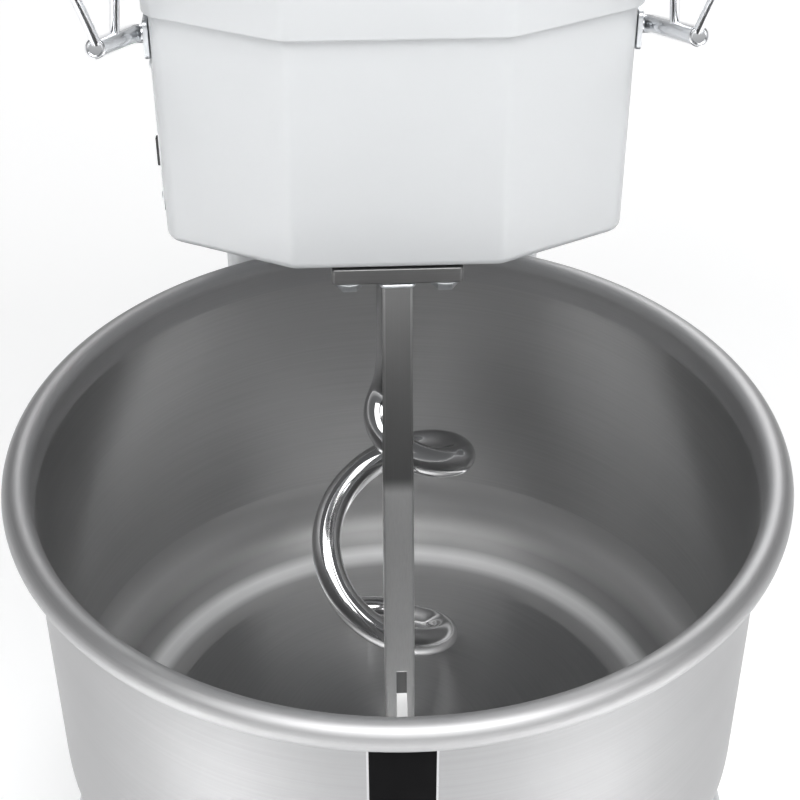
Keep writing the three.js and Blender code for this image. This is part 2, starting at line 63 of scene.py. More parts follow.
base_lo, base_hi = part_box("base_shell")
panel_lo, panel_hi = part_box("control_panel")

# ---- driving sizes ----
BOWL_IN, BOWL_WALL, FILLET, BOWL_DEPTH = 0.200, 0.0025, 0.050, 0.230
BOWL_OUT = BOWL_IN + BOWL_WALL
RIM_R = 0.008
RIM_Z = bowl_hi.z - RIM_R
FLOOR_Z = RIM_Z - BOWL_DEPTH
CORNER_Z = FLOOR_Z + FILLET
BOWL_Y = (bowl_lo.y + bowl_hi.y) / 2
SPIRAL_Y = BOWL_Y + 0.065
ROD_R = 0.009
BAR_FRONT = BOWL_Y - 0.010
BAR_BEND = RIM_Z - 0.013
BEND_HALF = 0.006
BAR_LEAN = math.tan(math.radians(6))
PANEL_OUT = Vector((-1, 0, 0))
PIVOT = Vector((0.127, -0.114, 0.826))
ARM_END = Vector((0.136, -0.180, 0.849))
HOOP_R, RIB_R, ARM_R = 0.0023, 0.0019, 0.0046
TINY = 1e-9
NEARLY_STRAIGHT, SHARP, BEVELLED = 3.0, math.radians(32), math.radians(35)


# ---- materials ----
def grey(level):
    return level, level, level


def dimmed(color, level):
    return tuple(c * level for c in color)


class Nodes:
    """Short forms for building one material's node tree."""

    def __init__(self, name):
        self.mat = bpy.data.materials.new(name)
        self.mat.use_nodes = True
        self.tree = self.mat.node_tree
        self.bsdf = self.tree.nodes["Principled BSDF"]

    def add(self, kind, **values):
        node = self.tree.nodes.new(kind)
        for key, value in values.items():
            if key in node.inputs:
                node.inputs[key].default_value = value
            else:
                setattr(node, key, value)
        return node

    def link(self, a, b):
        self.tree.links.new(a, b)

    def set(self, **values):
        for key, value in values.items():
            self.bsdf.inputs[key.replace("_", " ")].default_value = value
        return self

    def feed(self, value, name):
        self.link(value, self.bsdf.inputs[name])
        return self

    def math(self, operation, *values):
        node = self.add("ShaderNodeMath", operation=operation)
        for socket, value in zip(node.inputs, values):
            if isinstance(value, (int, float)):
                socket.default_value = value
            else:
                self.link(value, socket)
        return node.outputs[0]

    def mix(self, a, part_a, b, part_b):
        return self.math("ADD", self.math("MULTIPLY", a, part_a), self.math("MULTIPLY", b, part_b))

    def noise(self, vector, scale, detail=3.0, rough=0.55):
        node = self.add("ShaderNodeTexNoise", Scale=scale, Detail=detail, Roughness=rough)
        self.link(vector, node.inputs["Vector"])
        return node.outputs[0]

    def coords(self):
        return self.add("ShaderNodeTexCoord").outputs["Object"]

    def scaled(self, vector, scale):
        """A vector or color times a constant triple, or times another socket."""
        node = self.add("ShaderNodeVectorMath", operation="MULTIPLY")
        self.link(vector, node.inputs[0])
        if isinstance(scale, tuple):
            node.inputs[1].default_value = scale
        else:
            self.link(scale, node.inputs[1])
        return node.outputs[0]

    def around(self, x, y, scale):
        """Scaled cylindrical coordinates about a vertical line, and the plain distance from it."""
        shift = self.add("ShaderNodeVectorMath", operation="SUBTRACT")
        self.link(self.coords(), shift.inputs[0])
        shift.inputs[1].default_value = (x, y, 0)
        parts = self.add("ShaderNodeSeparateXYZ")
        self.link(shift.outputs[0], parts.inputs[0])
        px, py, height = parts.outputs
        radius = self.math("SQRT", self.mix(px, px, py, py))
        turn = self.math("ARCTAN2", py, px)
        join = self.add("ShaderNodeCombineXYZ")
        for i, (value, k) in enumerate(zip((radius, turn, height), scale)):
            self.link(self.math("MULTIPLY", value, k), join.inputs[i])
        return join.outputs[0], radius

    def ramp(self, value, stops):
        node = self.add("ShaderNodeValToRGB")
        self.link(value, node.inputs[0])
        ramp = node.color_ramp
        while len(ramp.elements) < len(stops):
            ramp.elements.new(0.5)
        for element, (at, level) in zip(ramp.elements, stops):
            element.position = at
            element.color = (*(level if isinstance(level, tuple) else grey(level)), 1)
        return node.outputs[0]

    def bump(self, height, strength, distance=0.0002):
        node = self.add("ShaderNodeBump", Strength=strength, Distance=distance)
        self.link(height, node.inputs["Height"])
        return self.feed(node.outputs[0], "Normal")

    def satin(self, rough, grain, by_grain, cloud, by_cloud):
        """Roughness that wanders round `rough` with a fine grain and with soft clouds."""
        change = self.mix(grain, by_grain, cloud, by_cloud)
        return self.feed(self.math("ADD", change, rough - (by_grain + by_cloud) / 2), "Roughness")


def paint(name, color, rough=0.34):
    n = Nodes(name).set(Roughness=rough, Coat_Weight=0.25, Coat_Roughness=0.18)
    at = n.coords()
    fine = n.noise(at, 1400.0, 2)
    broad = n.noise(at, 9.0, 3)
    n.feed(n.ramp(broad, [(0.3, dimmed(color, 0.965)), (0.7, color)]), "Base Color")
    n.feed(n.ramp(n.noise(at, 60.0, 4), [(0.3, rough - 0.05), (0.7, rough + 0.07)]), "Roughness")
    return n.bump(fine, 0.12).mat


def brushed(name, color, rough, stretch):
    """Satin metal whose fine scratches run along the axis with the smallest stretch value."""
    n = Nodes(name).set(Metallic=1.0, Roughness=rough)
    grain = n.noise(n.scaled(n.coords(), stretch), 1.0, 5, 0.7)
    cloud = n.noise(n.coords(), 16.0, 4)
    n.feed(n.ramp(grain, [(0.25, dimmed(color, 0.85)), (0.75, color)]), "Base Color")
    return n.satin(rough, grain, 0.14, cloud, 0.12).bump(grain, 0.12).mat


def bar_steel_painted_light(name, upper, lower, rough):
    """Brushed bar whose base colour is painted: dark above its bend as painted shade, bright below it as a
    painted reflection, blended over the bend itself.
    """
    n = Nodes(name).set(Metallic=1.0)
    grain = n.noise(n.scaled(n.coords(), (1300.0, 1300.0, 14.0)), 1.0, 5, 0.7)
    cloud = n.noise(n.coords(), 16.0, 4)
    parts = n.add("ShaderNodeSeparateXYZ")
    n.link(n.coords(), parts.inputs[0])
    bend = n.add("ShaderNodeMapRange", interpolation_type="SMOOTHSTEP")
    n.link(parts.outputs[2], bend.inputs["Value"])
    for socket, value in (("From Min", BAR_BEND - 0.009), ("From Max", BAR_BEND + 0.003),
                          ("To Min", lower), ("To Max", upper)):
        bend.inputs[socket].default_value = value
    streak = n.math("ADD", n.math("MULTIPLY", grain, 0.2), 0.85)
    n.feed(n.math("MULTIPLY", bend.outputs[0], streak), "Base Color")
    return n.satin(rough, grain, 0.14, cloud, 0.12).bump(grain, 0.12).mat


def spun(name, dark, pale, rough, ring=700.0, strength=0.06, pull=0.8, rings=None):
    """Sheet metal spun to a bowl: fine rings all round it, over faint wide bands.
    rings holds (distance from the axis, level) pairs that paint a highlight ring and a ring of shade into its
    colour, from the middle outwards."""
    n = Nodes(name).set(Metallic=1.0, Anisotropic=pull, Anisotropic_Rotation=0.25)
    fine, radius = n.around(0.0, BOWL_Y, (ring, 1.6, ring))
    grain = n.noise(fine, 1.0, 3, 0.6)
    wide, _ = n.around(0.0, BOWL_Y, (26.0, 0.5, 26.0))
    bands = n.noise(wide, 1.0, 2)
    cloud = n.noise(n.coords(), 9.0, 4)
    color = n.ramp(n.mix(grain, 0.7, bands, 0.3), [(0.25, dark), (0.75, pale)])
    if rings:
        near, far = rings[0][0], rings[-1][0]
        across = n.math("DIVIDE", n.math("SUBTRACT", radius, near), far - near)
        color = n.scaled(color, n.ramp(across, [((r - near) / (far - near), v) for r, v in rings]))
    n.feed(color, "Base Color")
    tangent = n.add("ShaderNodeTangent", direction_type="RADIAL", axis="Z")
    n.feed(tangent.outputs[0], "Tangent")
    return n.satin(rough, grain, 0.08, cloud, 0.10).bump(grain, strength).mat


def mirror(name, color, rough):
    n = Nodes(name).set(Metallic=1.0, Roughness=rough)
    cloud = n.noise(n.coords(), 55.0, 4)
    fine = n.noise(n.scaled(n.coords(), (500.0, 500.0, 160.0)), 1.0, 3)
    n.feed(n.ramp(cloud, [(0.3, dimmed(color, 0.93)), (0.7, color)]), "Base Color")
    n.feed(n.math("ADD", n.math("MULTIPLY", cloud, 0.09), rough - 0.03), "Roughness")
    return n.bump(fine, 0.035, 0.0001).mat


def moulded(name, color, rough, grain=900.0, strength=0.18, gloss=0.5):
    n = Nodes(name).set(Roughness=rough, Specular_IOR_Level=gloss)
    at = n.coords()
    n.feed(n.ramp(n.noise(at, 30.0, 3), [(0.3, dimmed(color, 0.8)), (0.7, color)]), "Base Color")
    n.feed(n.ramp(n.noise(at, 90.0, 3), [(0.3, rough - 0.05), (0.7, rough + 0.08)]), "Roughness")
    return n.bump(n.noise(at, grain, 3), strength).mat


def cast(name, color):
    n = Nodes(name).set(Metallic=0.6, Roughness=0.6)
    at = n.coords()
    n.feed(n.ramp(n.noise(at, 40.0, 5), [(0.3, dimmed(color, 0.7)), (0.7, color)]), "Base Color")
    return n.bump(n.noise(at, 420.0, 5), 0.5, 0.0006).mat


# The corner between the bowl's wall and floor has a painted highlight in its colour: one thin bright ring,
# with a ring of painted shade outside it.
CORNER_PAINTED_RINGS = [(0.150, 0.50), (0.160, 0.53), (0.1655, 0.97), (0.1705, 0.97), (0.177, 0.35), (0.184, 0.32),
                (0.190, 0.50), (0.196, 0.62), (0.200, 0.56)]

WHITE = paint("white_paint", (0.58, 0.593, 0.605))
SPUN = spun("spun_stainless", (0.345, 0.345, 0.35), (0.40, 0.40, 0.405), 0.32)
INSIDE = spun("spun_inside", grey(0.44), grey(0.52), 0.36)
# The corner's much brighter base colour, cut down by the ring list above, is painted highlight and painted
# shade.
CORNER = spun("spun_corner_painted_rings", grey(0.93), grey(0.98), 0.44, 500.0, 0.02, 0.0, CORNER_PAINTED_RINGS)
RIM = spun("satin_rim", (0.45, 0.45, 0.455), (0.52, 0.52, 0.525), 0.52, 1200.0, 0.04, 0.3)
# Painted shade above the bend and a painted reflection below it, in the bar's base colour.
BAR = bar_steel_painted_light("brushed_bar", 0.31, 1.0, 0.54)
# A brighter copy of the bar's steel for its front edges: a painted highlight.
LIT_BAR_EDGE = bar_steel_painted_light("brushed_bar_edge_painted_highlight", 0.46, 1.0, 0.44)
PLATE = brushed("brushed_plate", grey(0.175), 0.36, (14.0, 900.0, 1300.0))
PANEL = brushed("brushed_panel", (0.60, 0.61, 0.62), 0.34, (900.0, 12.0, 1300.0))
TURNED = brushed("turned_steel", (0.55, 0.55, 0.56), 0.30, (900.0, 900.0, 900.0))
POLISHED = mirror("polished_rod", (0.60, 0.60, 0.605), 0.08)
CHROME = mirror("chrome_tube", (0.84, 0.85, 0.87), 0.12)
ZINC = brushed("zinc_plate", (0.66, 0.68, 0.70), 0.36, (300.0, 300.0, 300.0))
IRON = cast("cast_iron", (0.20, 0.21, 0.22))
RUBBER = moulded("black_rubber", (0.022, 0.022, 0.023), 0.72, 700.0, 0.35)
BLACK = moulded("black_plastic", (0.016, 0.016, 0.018), 0.36)
LABEL = moulded("black_label", (0.003, 0.003, 0.0035), 0.5, 1600.0, 0.1, 0.04)
# Darker steel for a thin plate on the bar's foot: a painted reflection.
DARK_REFLECTION = brushed("painted_reflection_steel", grey(0.42), 0.5, (1300.0, 1300.0, 14.0))
# Bright white on the steel tongue: a painted highlight.
TONGUE_HIGHLIGHT = paint("tongue_painted_highlight", grey(0.86), 0.4)
RED = moulded("red_plastic", (0.55, 0.02, 0.02), 0.28)
GREEN = moulded("green_plastic", (0.02, 0.32, 0.09), 0.28)
LENS = moulded("lamp_lens", (0.80, 0.78, 0.66), 0.15)
BLUE = paint("motor_paint", (0.07, 0.13, 0.24), 0.42)


# ---- meshes ----
def piece(name, verts, faces, mat, body, replaces=(), bevel=0.0, segments=2):
    mesh = bpy.data.meshes.new(name)
    mesh.from_pydata([tuple(v) for v in verts], [], faces)
    bm = bmesh.new()
    bm.from_mesh(mesh)
    bmesh.ops.remove_doubles(bm, verts=bm.verts, dist=1e-7)
    bmesh.ops.recalc_face_normals(bm, faces=bm.faces)
    bm.to_mesh(mesh)
    bm.free()
    mesh.shade_smooth()
    mesh.set_sharp_from_angle(angle=SHARP)
    obj = bpy.data.objects.new(name, mesh)
    if bevel:
        mod = obj.modifiers.new("bevel", "BEVEL")
        mod.width, mod.segments, mod.limit_method = bevel, segments, "ANGLE"
        mod.angle_limit = BEVELLED
        mod.harden_normals = True
    return dress(obj, mat, body, replaces)


def dress(obj, mat, body, replaces=()):
    bpy.context.scene.collection.objects.link(obj)
    obj.data.materials.append(mat)
    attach(obj, body)
    if replaces:
        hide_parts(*replaces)
    return obj


def middle(node):
    lo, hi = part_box(node)
    return (lo + hi) / 2


def rectangle(x0, y0, x1, y1):
    return [(x0, y0), (x1, y0), (x1, y1), (x0, y1)]


def hexagon(r):
    return [(r * math.cos(math.pi / 3 * i), r * math.sin(math.pi / 3 * i)) for i in range(6)]


def soften(profile, r, steps=4, closed=False):
    """Round the corners of a polyline with fillets of radius r."""
    n = len(profile)
    out = []
    for i, p in enumerate(profile):
        p0, a, b = Vector(p), Vector(profile[i - 1]), Vector(profile[(i + 1) % n])
        u, v = a - p0, b - p0
        at_end = not closed and i in (0, n - 1)
        doubled = u.length < TINY or v.length < TINY
        if at_end or doubled or u.angle(v) > NEARLY_STRAIGHT:
            out.append(p)
            continue
        half = u.angle(v) / 2
        cut = min(r / math.tan(half), u.length * 0.45, v.length * 0.45)
        u.normalize()
        v.normalize()
        centre = p0 + (u + v).normalized() * (cut * math.tan(half) / math.sin(half))
        s, e = p0 + u * cut - centre, p0 + v * cut - centre
        turn = max(s.angle(e), 1e-4)
        for k in range(steps + 1):
            t = turn * k / steps
            out.append(tuple(centre + (s * math.sin(turn - t) + e * math.sin(t)) / math.sin(turn)))
    return out


def inset(corners, d):
    """Move each side of an anticlockwise outline inwards by d."""
    sides = []
    for i, (x0, y0) in enumerate(corners):
        x1, y1 = corners[(i + 1) % len(corners)]
        length = math.hypot(x1 - x0, y1 - y0)
        nx, ny = -(y1 - y0) / length, (x1 - x0) / length
        sides.append((nx, ny, nx * x0 + ny * y0 + d))
    out = []
    for i, (e, f, g) in enumerate(sides):
        a, b, c = sides[i - 1]
        det = a * f - b * e
        out.append(((c * f - b * g) / det, (a * g - c * e) / det))
    return out


def skin(rows):
    """Verts and faces of a closed skin over equal-length rings of points."""
    n = len(rows[0])
    verts = [v for row in rows for v in row]
    faces = [[s * n + i, s * n + (i + 1) % n, (s + 1) * n + (i + 1) % n, (s + 1) * n + i]
             for s in range(len(rows) - 1) for i in range(n)]
    faces += [list(range(n))[::-1], list(range((len(rows) - 1) * n, len(rows) * n))]
    return verts, faces


def loft(sections):
    """Skin over level outlines given as (outline, height)."""
    return skin([[(x, y, z) for x, y in outline] for outline, z in sections])


def lathe(name, profile, x, y, mat, body, replaces=(), sides=96, closed=False):
    """Turn (radius, height) pairs about the vertical line through x, y."""
    n = len(profile)
    verts, faces = [], []
    for j in range(sides):
        a = 2 * math.pi * j / sides
        verts += [(x + r * math.cos(a), y + r * math.sin(a), z) for r, z in profile]
    for j in range(sides):
        k = (j + 1) % sides
        for i in range(n if closed else n - 1):
            m = (i + 1) % n
            quad = [j * n + i, k * n + i, k * n + m, j * n + m]
            if profile[i][0] < TINY:
                quad.pop(1)
            elif profile[m][0] < TINY:
                quad.pop(2)
            faces.append(quad)
    return piece(name, verts, faces, mat, body, replaces)


def turned(name, profile, origin, direction, mat, body, replaces=(), sides=48, closed=False):
    """Lathe about any axis: the profile's height runs along direction from origin."""
    obj = lathe(name, profile, 0, 0, mat, body, (), sides, closed)
    spin = Vector((0, 0, 1)).rotation_difference(Vector(direction)).to_matrix().to_4x4()
    obj.data.transform(Matrix.Translation(origin) @ spin)
    if replaces:
        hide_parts(*replaces)
    return obj


def tube(name, points, radius, mat, body, replaces=(), radii=None, resolution=8):
    curve = bpy.data.curves.new(name, "CURVE")
    curve.dimensions = "3D"
    curve.bevel_depth = radius
    curve.bevel_resolution = resolution
    curve.use_fill_caps = True
    spline = curve.splines.new("POLY")
    spline.points.add(len(points) - 1)
    for i, p in enumerate(points):
        spline.points[i].co = (*p, 1)
        spline.points[i].radius = radii[i] if radii else 1.0
    spline.use_smooth = True
    return dress(bpy.data.objects.new(name, curve), mat, body, replaces)


def smooth_line(keys, count):
    """Catmull-Rom line through the keys, evenly sampled in its parameter."""
    keys = [Vector(k) for k in keys]
    ends = [keys[0] * 2 - keys[1]] + keys + [keys[-1] * 2 - keys[-2]]
    out = []
    for i in range(count + 1):
        t = i / count * (len(keys) - 1)
        k = min(int(t), len(keys) - 2)
        f = t - k
        a, b, c, d = ends[k:k + 4]
        out.append(0.5 * ((2 * b) + (c - a) * f + (2 * a - 5 * b + 4 * c - d) * f * f
                          + (3 * b - a - 3 * c + d) * f ** 3))
    return out


def upright_plate(name, x0, x1, outline, mat, replaces, bevel):
    """Flat plate that stands across X, over an outline in Y and Z."""
    verts, faces = skin([[(x, y, z) for y, z in outline] for x in (x0, x1)])
    return piece(name, verts, faces, mat, "frame", replaces, bevel)


def casing(name, corners, fold, z0, z1, node, low=0.0, high=0.0):
    """Painted sheet casing: upright folds of radius fold, lower and upper edges of radius low and high."""
    least_fold = 0.0008

    def section(d, z):
        return soften(inset(corners, d), max(fold - d, least_fold), 6, True), z

    quarter = [k / 5 * math.pi / 2 for k in range(6)]
    foot = [section(low * (1 - math.sin(a)), z0 + low * (1 - math.cos(a))) for a in quarter]
    walls = [section(0, z0 + low + (z1 - z0 - low - high) * t) for t in (0.25, 0.5, 0.75)]
    top = [section(high * (1 - math.cos(a)), z1 - high * (1 - math.sin(a))) for a in quarter]
    verts, faces = loft((foot if low else foot[-1:]) + walls + (top if high else top[:1]))
    return piece(name, verts, faces, WHITE, "frame", [node])


def screw(name, at, direction, r):
    """Domed cross-head screw."""
    dome = [(r * math.cos(t * math.pi / 16), 0.45 * r * math.sin(t * math.pi / 16)) for t in range(8)]
    profile = [(0.0, -0.3 * r), (r * 0.96, -0.3 * r), *dome, (r * 0.32, 0.44 * r), (r * 0.25, 0.22 * r),
               (0.0, 0.16 * r)]
    return turned(name, profile, at, direction, ZINC, "frame", sides=28)


# ---- camera, light and floor ----
def aim_camera():
    """Standing in front of the bowl, looking down into it, a little from the left."""
    rim = BOWL_IN + 2 * RIM_R
    place = Vector((-0.135 * rim, BOWL_Y - 3.45 * rim, RIM_Z + 2.727 * rim))
    pitch, yaw, roll = math.radians(36.56), math.radians(2.35), math.radians(-0.13)
    ahead = Vector((math.sin(yaw) * math.cos(pitch), math.cos(yaw) * math.cos(pitch), -math.sin(pitch)))
    right = Vector((math.cos(yaw), -math.sin(yaw), 0))
    up = right.cross(ahead)
    right, up = (right * math.cos(roll) + up * math.sin(roll), up * math.cos(roll) - right * math.sin(roll))
    camera = bpy.data.objects.new("camera", bpy.data.cameras.new("camera"))
    bpy.context.scene.collection.objects.link(camera)
    axes = Matrix((right, up, -ahead)).transposed().to_4x4()
    camera.matrix_world = Matrix.Translation(place) @ axes
    camera.data.lens, camera.data.sensor_width = 77.13, 36.0
    camera.data.clip_end = 50.0
    bpy.context.scene.camera = camera


def build_world():
    """Sky that is brightest at the horizon and dims upwards, and also dims away from the viewer."""
    world = bpy.data.worlds.new("studio")
    bpy.context.scene.world = world
    world.use_nodes = True
    tree = world.node_tree
    back = tree.nodes["Background"]
    where = tree.nodes.new("ShaderNodeTexCoord")
    split = tree.nodes.new("ShaderNodeSeparateXYZ")
    height, depth = tree.nodes.new("ShaderNodeValToRGB"), tree.nodes.new("ShaderNodeMapRange")
    shade = tree.nodes.new("ShaderNodeVectorMath")
    shade.operation = "SCALE"
    tree.links.new(where.outputs["Generated"], split.inputs[0])
    tree.links.new(split.outputs[2], height.inputs[0])
    tree.links.new(split.outputs[1], depth.inputs[0])
    tree.links.new(height.outputs[0], shade.inputs[0])
    tree.links.new(depth.outputs[0], shade.inputs["Scale"])
    tree.links.new(shade.outputs[0], back.inputs[0])
    for socket, value in (("From Min", -0.8), ("From Max", 0.8), ("To Min", 0.95), ("To Max", 0.6)):
        depth.inputs[socket].default_value = value
    tones = height.color_ramp.elements
    tones[0].color = (0.95, 0.95, 0.95, 1)
    tones[1].color = (0.15, 0.15, 0.155, 1)
    tones.new(0.35).color = (0.25, 0.255, 0.26, 1)


def light(name, place, target, size, power):
    data = bpy.data.lights.new(name, "AREA")
    data.shape, data.size, data.energy = "SQUARE", size, power
    obj = bpy.data.objects.new(name, data)
    bpy.context.scene.collection.objects.link(obj)
    obj.location = place
    obj.rotation_euler = (Vector(target) - Vector(place)).to_track_quat("-Z", "Y").to_euler()


def build_lights():
    """Two high lamps in front, one behind, and two low ones whose pools of light the bowl's wall mirrors."""
    light("key", (-0.55, -1.45, 3.2), (0, BOWL_Y, 0.5), 1.9, 54)
    light("fill", (0.80, -1.45, 3.1), (0, BOWL_Y, 0.5), 1.9, 52)
    light("pool_left", (-0.85, -0.90, 0.42), (-0.85, -0.90, 0.0), 0.4, 7.5)
    light("pool_right", (0.85, -0.90, 0.42), (0.85, -0.90, 0.0), 0.4, 6.5)
    light("rear", (0.3, 1.9, 2.4), (0, 0.1, 0.8), 1.4, 22)
    bpy.context.scene.view_settings.view_transform = "Standard"


def build_floor():
    """Pale floor that glows a little more with the distance, so that it runs into the background."""
    n = Nodes("pale_floor").set(Roughness=0.8, Base_Color=(0.95, 0.95, 0.95, 1), Emission_Color=(1, 1, 1, 1))
    _, away = n.around(0.0, 0.0, (1.0, 1.0, 1.0))
    reach = 5.0
    n.feed(n.ramp(n.math("DIVIDE", away, reach), [(0.2, 0.16), (0.7, 0.66)]), "Emission Strength")
    n.bump(n.noise(n.coords(), 200.0, 2), 0.02)
    mesh = bpy.data.meshes.new("floor")
    half = 12.0
    mesh.from_pydata([(x, y, 0) for x, y in rectangle(-half, -half, half, half)], [], [(0, 1, 2, 3)])
    floor = bpy.data.objects.new("floor", mesh)
    bpy.context.scene.collection.objects.link(floor)
    floor.data.materials.append(n.mat)
    floor.location.z = CAD_BOX[0].z - 0.0005


# ---- bowl ----
def build_bowl():
    steps = 18

    def corner(r, i):
        a = -math.pi / 2 * (i / steps)
        return BOWL_IN - FILLET + r * math.cos(a), CORNER_Z + r * math.sin(a)

    roll_end, tuck = 0.0088, 0.0105
    inside = [(0.0, FLOOR_Z)] + [(0.02 + 0.0215 * k, FLOOR_Z) for k in range(6)]
    inside += [corner(FILLET, i) for i in range(steps, -1, -1)]
    inside += [(BOWL_IN, CORNER_Z + (RIM_Z - CORNER_Z) * t) for t in (0.2, 0.4, 0.6, 0.8, 0.93)]
    roll = [math.pi - i / 26 * math.pi * 1.40 for i in range(27)]
    rim = [(BOWL_IN + RIM_R + RIM_R * math.cos(a), RIM_Z + RIM_R * math.sin(a)) for a in roll]
    outside = [(BOWL_OUT + 0.0006, RIM_Z - roll_end), (BOWL_OUT, RIM_Z - tuck)]
    outside += [(BOWL_OUT, RIM_Z - tuck - (RIM_Z - CORNER_Z - tuck) * t) for t in (0.3, 0.6, 0.9)]
    outside += [corner(FILLET + BOWL_WALL, i) for i in range(steps + 1)]
    outside += [(0.05, FLOOR_Z - BOWL_WALL), (0.0, FLOOR_Z - BOWL_WALL)]
    profile = inside + rim + outside
    sheet = lathe("bowl_spun", profile, 0, BOWL_Y, SPUN, "bowl", ["bowl"], sides=192)
    # The corner faces take the material with the painted highlight and shade rings.
    for mat in (INSIDE, RIM, CORNER):
        sheet.data.materials.append(mat)
    on_inside, on_rim, on_corner = 1, 2, 3
    for face in sheet.data.polygons:
        x, y, z = face.center
        r = math.hypot(x, y - BOWL_Y)
        past_corner, over_corner = r - BOWL_IN + FILLET, z - CORNER_Z
        if z > RIM_Z - roll_end and r > BOWL_IN - 0.0002:
            face.material_index = on_rim
        elif r < BOWL_IN + 0.0004 and math.hypot(max(past_corner, 0), min(over_corner, 0)) < FILLET + 0.0005:
            face.material_index = on_corner if past_corner > 0 > over_corner else on_inside


def build_label():
    """Blank dark label with a bright border, bent round the bowl's front."""
    lo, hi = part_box("bowl_label")
    front, half_turn, steps = math.radians(-91.7), 0.084, 16

    def sector(name, r0, r1, shrink, mat, replaces):
        h = half_turn - shrink / r1
        arc = [front - h + 2 * h * k / steps for k in range(steps + 1)]
        outline = [(r1 * math.cos(a), BOWL_Y + r1 * math.sin(a)) for a in arc]
        outline += [(r0 * math.cos(a), BOWL_Y + r0 * math.sin(a)) for a in reversed(arc)]
        verts, faces = loft([(outline, lo.z + shrink), (outline, hi.z - shrink)])
        piece(name, verts, faces, mat, "bowl", replaces, bevel=0.00025)

    sector("label_border", BOWL_OUT + 0.0003, BOWL_OUT + 0.0010, 0.0, TURNED, ["bowl_label"])
    sector("label_face", BOWL_OUT + 0.0008, BOWL_OUT + 0.0015, 0.0011, LABEL, [])


# ---- spiral ----
# Turn in degrees, then radius and height from the rim plane in millimetres: the rod's own winding.
COIL = [(-240, 0.8, 20), (-180, 5, -6), (-90, 21.5, -29), (-30, 34.5, -46.5), (0, 41, -55), (90, 41, -83.5),
        (180, 42.5, -120.5), (225, 43, -146), (270, 39.8, -168), (360, 32, -200.5), (400, 28, -209),
        (425, 28, -212), (450, 33, -214), (480, 42, -214.5)]


def build_spiral():
    path = [Vector((0, SPIRAL_Y, RIM_Z + up)) for up in (0.104, 0.09, 0.07, 0.045)]
    for turn, radius, height in smooth_line(COIL, 260):
        a, r = math.radians(turn), radius / 1000
        path.append(Vector((r * math.cos(a), SPIRAL_Y + r * math.sin(a), RIM_Z + height / 1000)))
    for _ in range(6):
        inner = [(path[i - 1] + path[i] * 2 + path[i + 1]) / 4 for i in range(1, len(path) - 1)]
        path = [path[0]] + inner + [path[-1]]
    end, radii = path[-1], [1.0] * len(path)
    tip = (end - path[-2]).normalized()
    rounding = 8
    for k in range(1, rounding + 1):
        a = math.pi / 2 * k / rounding
        path.append(end + tip * ROD_R * 0.95 * math.sin(a))
        radii.append(max(math.cos(a), 0.02))
    tube("spiral_rod", path, ROD_R, POLISHED, "spiral", ["spiral_hook"], radii, 14)
    z0, z1 = RIM_Z + 0.102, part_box("spiral_hook")[1].z
    collar = soften([(0.0, z0), (0.0165, z0), (0.019, z0 + 0.002), (0.019, z1), (0.0, z1)], 0.0008)
    lathe("spiral_collar", collar, 0, SPIRAL_Y, TURNED, "spiral", sides=72)


# ---- breaker bar ----
def bar_face(z):
    """Where the bar's front is at height z: upright above the bend, leaning forwards below it."""
    drop = BAR_BEND - z
    if abs(drop) > BEND_HALF:
        return BAR_FRONT - max(0, drop) * BAR_LEAN
    return BAR_FRONT - (drop + BEND_HALF) ** 2 / (4 * BEND_HALF) * BAR_LEAN


def strip(z, x0, x1, ahead, behind, r=0.0, steps=3):
    """Level outline from x0 to x1, reaching ahead of the bar's front and behind it."""
    y = bar_face(z)
    corners = rectangle(x0, y - ahead, x1, y + behind)
    return (soften(corners, r, steps, True) if r else corners), z


def build_bar():
    foot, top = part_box("breaker_bar")[0].z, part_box("breaker_bar")[1].z
    thick = 0.012
    # height, half width and thickness, from the foot upwards
    rows = [(foot, 0.0088, 0.010), (foot + 0.004, 0.0088, 0.0105), (RIM_Z - 0.160, 0.0089, thick),
            (RIM_Z - 0.110, 0.0088, thick), (RIM_Z - 0.060, 0.0087, thick), (BAR_BEND - 0.010, 0.0086, thick)]
    rows += [(BAR_BEND + BEND_HALF * k / 2, 0.0085, thick) for k in range(-2, 3)]
    rows += [(BAR_BEND + 0.03, 0.0082, thick), (BAR_BEND + 0.08, 0.0078, thick),
             (top - 0.0001, 0.0076, thick)]
    verts, faces = loft([strip(z, -w, w, 0, t, 0.0012) for z, w, t in rows])
    body = piece("bar_body", verts, faces, BAR, "frame", ["breaker_bar"], bevel=0.0003)
    body.data.materials.append(LIT_BAR_EDGE)
    # Faces turned to the front corners take the brighter copy, a painted highlight.
    for face in body.data.polygons:
        face.material_index = 1 if abs(face.normal.x) > 0.2 and face.normal.y < -0.2 else 0
    return foot, top


